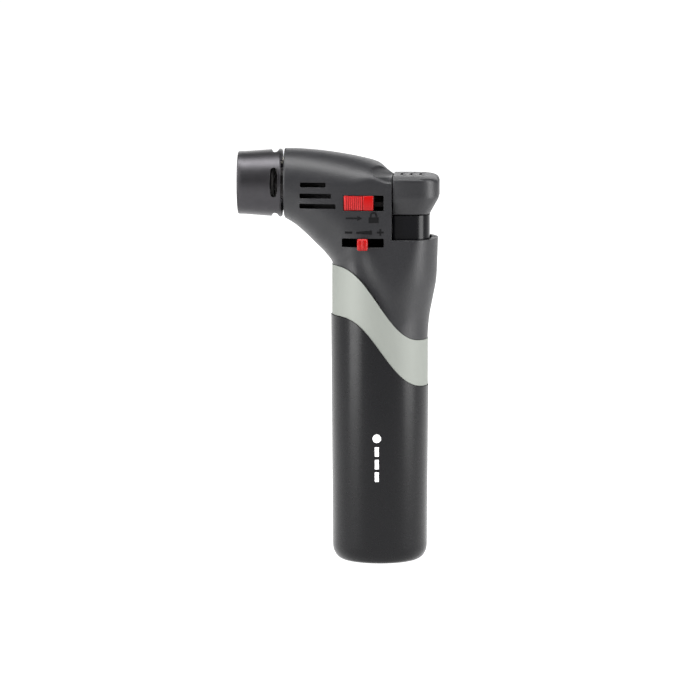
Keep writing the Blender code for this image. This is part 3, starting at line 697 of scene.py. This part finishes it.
def make_band():
    profile = rounded([(BAND_RADIUS, 95), (BAND_RADIUS, 40), (BAND_INNER, 40), (BAND_INNER, 95)],
                      0.1, 2)
    band = turned("band_ring", profile)
    cut(band, wave_cutter("above", band_top, 0.0, 120))
    cut(band, wave_cutter("below", band_bottom, 0.0, 20))
    finish(band, BAND, "root", ("trim_band",))


def make_sleeve():
    outer = [(0, 80), (SLEEVE_TOP_RADIUS, 80)]
    for step in range(11):
        angle = math.radians(90) * step / 10
        outer.append((9.9 + 3.66 * math.cos(angle) ** 0.9, 4.7 - 4.7 * math.sin(angle) ** 0.9))
    outer += [(0, 0)]
    inner = [(0, 90), (SLEEVE_TOP_RADIUS + 0.1 - SLEEVE_WALL, 90), (13.55 - SLEEVE_WALL, 3.2),
             (11.6, 1.6), (0, 1.6)]
    sleeve = turned("sleeve_cup", outer, closed=False)
    cut(sleeve, turned("hollow", inner, closed=False))
    cut(sleeve, wave_cutter("above", band_bottom, -BAND_GAP, 120))
    cut(sleeve, rod("fill_hole", (FILL_X, 0, -1), (FILL_X, 0, 3), 3.4, 64))
    finish(sleeve, SLEEVE, "root", ("body_sleeve",), 50)


# ---------------------------------------------------------------- wind guard

def guard_slot(steps=12):
    """A round-ended slot's cutter in the guard's wall, flared towards the outside."""
    rings = []
    for y, grow in ((-6.0, 0.0), (-9.0, 0.0), (-9.3, 0.1), (-9.7, 0.35), (-11.0, 0.35)):
        radius, reach = 0.93 + grow, 3.25
        ring = []
        for middle, first in ((reach, 0), (-reach, 180)):
            for i in range(steps + 1):
                angle = math.radians(first + 180 * i / steps)
                ring.append((GUARD_SLOT_X + radius * math.cos(angle), y,
                             middle + radius * math.sin(angle)))
        rings.append(ring)
    return loft("slot", rings)


def round_burner(degrees):
    """A turn about the burner's axis, for a piece modelled round the X axis."""
    return (Matrix.Translation((0, 0, BURNER_Z))
            @ Matrix.Rotation(math.radians(degrees), 4, "X"))


def make_guard():
    profile = [(8.62, GUARD_FRONT), (8.8, GUARD_FRONT + 0.06), (8.93, GUARD_FRONT + 0.35),
               (8.95, -38.5), (9.69, -28.5), (9.68, -28.2), (9.5, GUARD_REAR),
               (8.85, GUARD_REAR), (8.75, -28.2), (8.05, -38.5), (8.05, GUARD_FRONT + 0.3),
               (8.2, GUARD_FRONT)]
    guard = turned("guard_shell", profile, ALONG_X)
    for quarter in range(4):
        slot = guard_slot()
        slot.data.transform(round_burner(90 * quarter + GUARD_SLOT_TURN))
        cut(guard, slot)
    for angle in (54, 234):
        tab = block("tab", (-28.4, -9.5, -1.0), (-27.4, -8.85, 1.0))
        tab.data.transform(round_burner(-angle))
        join(guard, tab)
    finish(guard, GUARD, "root", ("wind_guard",), 35)


# ---------------------------------------------------------------- button

def cap_levels():
    """The cap's plan outlines: (z, rear x, half depth, corner radius, front edge)."""
    levels = [(CAP_BOTTOM, 14.1, 9.7, 4.7), (CAP_BOTTOM + 0.2, 14.35, 9.93, 4.8),
              (104.1, 16.7, 10.94, 5.95), (104.5, 16.82, CAP_HALF, 6.0),
              (105.2, 16.83, CAP_HALF, 6.0)]
    for step in range(1, 10):
        angle = math.radians(90) * step / 10
        z = 108.1 + 2.4 * math.sin(angle)
        rear = 14.43 + 2.4 * math.cos(angle)
        levels.append((z, rear, cap_half(z), 6.0 - 1.2 * step / 10))
    levels.append((CAP_TOP, 14.43, 8.0, 4.8))
    return levels


def cap_half(z):
    """The cap's half depth near its top: a 1 mm roll, then a shallow slope to the flat top."""
    if z <= CAP_ROLL_Z:
        return CAP_HALF
    if z <= CAP_SLOPE_Z:
        return 10.3 + 0.7 * math.sqrt(max(0.0, 1 - ((z - CAP_ROLL_Z) / 0.92) ** 2))
    return 10.3 - 2.3 * (z - CAP_SLOPE_Z) / (CAP_TOP - CAP_SLOPE_Z)


def grip_groove(x, bulge=1.6, half=4.9, width=0.75, steps=16):
    """A bowed groove across the cap's top, bulging towards the flame."""
    line = []
    for i in range(steps + 1):
        y = -half + 2 * half * i / steps
        line.append((x - bulge * math.cos(math.radians(90) * y / half) ** 0.8
                     if abs(y) < half else x, y))
    front = [(px - width / 2, py) for px, py in line]
    back = [(px + width / 2, py) for px, py in reversed(line)]
    outline = rounded([*reversed(back), *reversed(front)], 0.2, 1)
    return prism("groove", outline, 1.3, Matrix.Translation((0, 0, CAP_TOP + 0.1)))


def make_button():
    rings = [[(x, y, z) for x, y in button_outline(rear, half, corner, edge=0.3)]
             for z, rear, half, corner in cap_levels()]
    cap = loft("thumb_cap", rings)
    cut(cap, block("lock_pocket", (3, -9.9, 101.4), (5.2, -8.1, 108.8)))
    join(cap, block("peg", (1.2, -1.2, 101.2), (4.4, 1.2, 102.4)))
    for x in (7.6, 10.3, 13.0):
        cut(cap, grip_groove(x))
    finish(cap, BUTTON_PLASTIC, "button", ("thumb_button",), 32)

    top = CAP_BOTTOM - 0.3
    stem = prism("stem_block", button_outline(STEM_REAR, STEM_HALF, STEM_CORNER, edge=0.25),
                 top - STEM_BOTTOM, Matrix.Translation((0, 0, (top + STEM_BOTTOM) / 2)))
    join(stem, block("foot", (4.3, -6, FOOT_BOTTOM), (11.5, 6, 92.0)))
    finish(stem, STEM, "button", ("button_stem",), 30)


# ---------------------------------------------------------------- lock slider and flame lever

def make_lock_slider():
    left, right = LOCK_BLOCK
    split = left + (right - left) * 0.655
    base = block("slider_base", (left - 1.3, -9.3, LOCK_Z - 3), (right + 0.3, -8.5, LOCK_Z + 3))
    join(base, block("finger", (right, -9.3, 101.9), (1.8, -8.5, 103.3)))
    # The slider's base fills the slot behind the red parts; its near-black tone is painted shade
    # for the slot's inside.
    finish(base, RECESS_SHADE, "lock", ("lock_slider",), 35)
    smooth = soft_block("slider_end", (split, -11.75, LOCK_Z - 2.07),
                        (right, -9.32, LOCK_Z + 2.07), 0.2)
    finish(smooth, RED, "lock", (), 35)

    ribbed = soft_block("slider_ribs", (left, -11.45, LOCK_Z - 2.07),
                        (split - 0.02, -9.32, LOCK_Z + 2.07), 0.15)
    count = 9
    pitch = (split - left - 0.3) / count
    for i in range(count):
        x = left + 0.15 + pitch * (i + 0.5)
        rib = soft_block("rib", (x - pitch * 0.3, -11.75, LOCK_Z - 1.95),
                         (x + pitch * 0.3, -11.2, LOCK_Z + 1.95), 0.12, 2)
        join(ribbed, rib)
    finish(ribbed, RED_RIBBED, "lock", (), 35)


def make_flame_lever():
    profile = rounded([(4.6, 92.9), (4.6, 90.6), (3.3, 90.6), (3.3, 92.9)], 0.15, 2)
    hub = turned("lever_hub", profile, Matrix.Translation((VALVE_X, 0, 0)), 64)
    join(hub, block("arm", (VALVE_X - 1.2, -14.2, FLAME_Z - 1),
                    (VALVE_X + 1.2, -3.9, FLAME_Z + 1)))
    # The hub and arm sit inside the flame slot; their near-black tone is painted shade for the
    # slot's inside.
    finish(hub, RECESS_SHADE, "flame_control", ("flame_lever",), 35)
    pad = soft_block("lever_pad", (VALVE_X - 1.5, -14.8, FLAME_Z - 2.0),
                     (VALVE_X + 1.5, -13.5, FLAME_Z + 1.35), 0.55, 5)
    join(pad, soft_block("rib", (VALVE_X - 0.3, -15.0, FLAME_Z - 1.75),
                         (VALVE_X + 0.3, -14.3, FLAME_Z + 1.1), 0.25, 4))
    finish(pad, RED, "flame_control", (), 35)


# ---------------------------------------------------------------- springs

# (CAD node, axis x, coil radius, wire radius, low z, high z, turns, joint that squeezes it,
#  z of its fixed end, share of its length left at the joint's limit)
SPRINGS = (
    ("button_spring", 7.1, 3.25, 0.35, 76.5, 85.5, 5, "button_press", 76.5, 0.44),
    ("hammer_spring", 7.1, 1.2, 0.22, 76.3, 84.2, 5, "button_press", 76.3, 0.36),
    ("valve_spring", VALVE_X, 1.38, 0.2, 81.0, 88.2, 5, "valve_lift", 88.2, 0.9),
    ("fill_valve_spring", FILL_X, 1.3, 0.17, 4.2, 8.9, 5, "refill_press", 8.9, 0.74),
)


def coil(name, x, radius, wire_radius, low, high, turns, steps=28):
    """A compression spring with its end turns lying almost flat."""
    curve = bpy.data.curves.new(name, "CURVE")
    curve.dimensions = "3D"
    curve.bevel_depth = wire_radius
    curve.bevel_resolution = 3
    curve.use_fill_caps = True
    spline = curve.splines.new("POLY")
    count = turns * steps
    spline.points.add(count)
    lead = wire_radius * 2.2 / 0.75
    for i, point in enumerate(spline.points):
        angle = 2 * math.pi * i / steps
        turn = turns * i / count
        rise = min(max((turn - 0.75) / (turns - 1.5), 0.0), 1.0)
        flat = min(turn, 0.75) + max(turn - turns + 0.75, 0.0)
        height = low + wire_radius + lead * flat + rise * (high - low - 6.4 * wire_radius)
        point.co = (x + radius * math.cos(angle), radius * math.sin(angle), height, 1.0)
    guide = add_object(name + "_guide", curve)
    bpy.context.view_layer.update()
    graph = bpy.context.evaluated_depsgraph_get()
    mesh = bpy.data.meshes.new_from_object(guide.evaluated_get(graph))
    bpy.data.objects.remove(guide)
    return add_object(name, mesh)


def make_springs():
    for node, x, radius, wire_radius, low, high, turns, joint, anchor, keep in SPRINGS:
        spring = coil(f"{node}_coil", x, radius, wire_radius, low, high, turns)
        finish(spring, SPRING, "root", (node,))
        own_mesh(spring)


# ---------------------------------------------------------------- moulded signs and print

def on_surface(name, outline, surface, lift, grid=0.5):
    """A thin plate over a flat outline in XZ, laid on the near side of a surface y(x, z)."""
    cage = bmesh.new()
    front = cage.faces.new([cage.verts.new((x, 0, z)) for x, z in outline])
    bmesh.ops.triangulate(cage, faces=[front])
    lows = [min(v.co[k] for v in cage.verts) for k in (0, 2)]
    highs = [max(v.co[k] for v in cage.verts) for k in (0, 2)]
    for axis, low, high in ((0, lows[0], highs[0]), (2, lows[1], highs[1])):
        normal = Vector((1, 0, 0)) if axis == 0 else Vector((0, 0, 1))
        for i in range(1, int((high - low) / grid) + 1):
            bmesh.ops.bisect_plane(cage, geom=cage.verts[:] + cage.edges[:] + cage.faces[:],
                                   plane_co=normal * (low + i * grid), plane_no=normal)
    for vert in cage.verts:
        vert.co.y = surface(vert.co.x, vert.co.z) - lift
    plate = bmesh.ops.extrude_face_region(cage, geom=cage.faces[:])
    for item in plate["geom"]:
        if isinstance(item, bmesh.types.BMVert):
            item.co.y += lift + 0.05
    return mesh_object(name, cage)


def near_side(name):
    """Depth of a shell piece's near side, found by looking along +Y at it."""
    shell = bpy.data.objects[name]

    def depth(x, z):
        hit, place, _, _ = shell.ray_cast(Vector((x, -30, z)) * MM, Vector((0, 1, 0)))
        return place.y / MM if hit else -11.5

    return depth


def arrow(left, right, z, bar, head):
    return [(left, z - bar), (right - 1.3, z - bar), (right - 1.3, z - head), (right, z),
            (right - 1.3, z + head), (right - 1.3, z + bar), (left, z + bar)]


def box_outline(x, z, width, height):
    return [(x - width / 2, z - height / 2), (x + width / 2, z - height / 2),
            (x + width / 2, z + height / 2), (x - width / 2, z + height / 2)]


def shackle(x, z, outer, inner, leg=0.5, steps=10):
    """The bow of a padlock sign."""
    angles = [math.radians(180) * i / steps for i in range(steps + 1)]
    arc, back = ([(x + radius * math.cos(angle), z + leg + radius * math.sin(angle))
                  for angle in angles] for radius in (outer, inner))
    return ([(x + outer, z)] + arc + [(x - outer, z), (x - inner, z)]
            + back[::-1] + [(x + inner, z)])


def disc_outline(x, z, radius, steps=32):
    turns = [2 * math.pi * i / steps for i in range(steps)]
    return [(x + radius * math.cos(turn), z + radius * math.sin(turn)) for turn in turns]


def make_marks():
    shell = near_side("left_housing_shell")
    signs = [arrow(-9.3, -4.7, 98.9, 0.22, 0.7), box_outline(-1.4, 98.4, 2.8, 1.6),
             shackle(-1.4, 99.25, 1.0, 0.6), box_outline(-8.5, 94.85, 2.1, 0.6),
             [(-6.3, 94.6), (-1.9, 94.3), (-1.9, 95.5), (-6.3, 95.1)],
             box_outline(0.5, 94.95, 1.9, 0.5), box_outline(0.5, 94.95, 0.5, 1.9)]
    for number, outline in enumerate(signs, 1):
        mark = on_surface(f"moulded_sign_{number}", outline, shell, 0.07)
        finish(mark, MARKS, "root", ())

    sleeve = near_side("sleeve_cup")
    print_x = -0.4
    prints = [disc_outline(print_x, 36.4, 1.2)]
    prints += [box_outline(print_x, z, 1.1, 2.7) for z in (32.6, 29.0, 25.4)]
    for number, outline in enumerate(prints, 1):
        mark = on_surface(f"white_print_{number}", outline, sleeve, 0.025)
        finish(mark, PRINT, "root", ())


# ---------------------------------------------------------------- camera, floor and lights

TARGET = Vector((-8.6, 0, 60.0)) * MM
AZIMUTH, ELEVATION = math.radians(2.5), math.radians(7.0)
DISTANCE = 1.3
VIEW_WIDTH = 0.2
TORCH_MIDDLE = Vector((0, 0, 60.0)) * MM

# The area lights: name, place and size in metres, power in watts
LIGHTS = (
    ("left_strip", (-0.31, -0.18, 0.13), (0.17, 0.5), 3.4),
    ("right_strip", (0.35, -0.1, 0.13), (0.17, 0.5), 3.6),
    ("top_box", (-0.1, -0.16, 0.85), (0.9, 0.3), 14.0),
    ("back_box", (0.0, 1.2, 0.65), (1.8, 0.7), 8.0),
)


def make_camera():
    camera = bpy.data.cameras.new("camera")
    camera.lens = camera.sensor_width * DISTANCE / VIEW_WIDTH
    camera.clip_end = 50
    obj = add_object("camera", camera)
    back = Vector((math.sin(AZIMUTH) * math.cos(ELEVATION),
                   -math.cos(AZIMUTH) * math.cos(ELEVATION), math.sin(ELEVATION)))
    obj.location = TARGET + back * DISTANCE
    obj.rotation_euler = (-back).to_track_quat("-Z", "Y").to_euler()
    bpy.context.scene.camera = obj


def area_light(name, place, size, power):
    light = bpy.data.lights.new(name, "AREA")
    light.shape = "RECTANGLE"
    light.size, light.size_y = size
    light.energy = power
    obj = add_object(name, light)
    obj.location = place
    away = Vector(place) - TORCH_MIDDLE
    obj.rotation_euler = away.to_track_quat("Z", "Y").to_euler()
    obj.visible_camera = False


def make_floor():
    """A pale floor whose glow fades out to the left and right."""
    cage = bmesh.new()
    bmesh.ops.create_grid(cage, x_segments=1, y_segments=1, size=12)
    floor = mesh_object("floor", cage)
    surface = Surface("pale_floor", (0.4, 0.4, 0.4), 0.9, specular=0.0)
    surface.vary_colour(surface.noise(3.0), 1.005)
    surface.shader.inputs["Emission Color"].default_value = (1, 1, 1, 1)
    axes = surface.tree.nodes.new("ShaderNodeSeparateXYZ")
    surface.link(surface.coords, axes.inputs["Vector"])
    sideways = surface.tree.nodes.new("ShaderNodeMath")
    sideways.operation = "ABSOLUTE"
    surface.link(axes.outputs["X"], sideways.inputs[0])
    glow = surface.ramp(sideways.outputs["Value"], 1.0, 0.4, 0.7, 2.2)
    surface.link(glow, surface.shader.inputs["Emission Strength"])
    floor.data.materials.append(surface.material)


def make_studio():
    """The dim world and the area lights."""
    world = bpy.data.worlds.new("studio")
    world.use_nodes = True
    backdrop = world.node_tree.nodes["Background"]
    backdrop.inputs["Color"].default_value = (0.12, 0.12, 0.125, 1)
    bpy.context.scene.world = world
    bpy.context.scene.view_settings.view_transform = "Standard"

    for light in LIGHTS:
        area_light(*light)


# ---------------------------------------------------------------- build

make_camera()
dress_kept_nodes()
make_shells()
make_vent_shade_sheets()
make_band()
make_sleeve()
make_guard()
make_button()
make_lock_slider()
make_flame_lever()
make_springs()
bpy.context.view_layer.update()
make_marks()
make_floor()
make_studio()
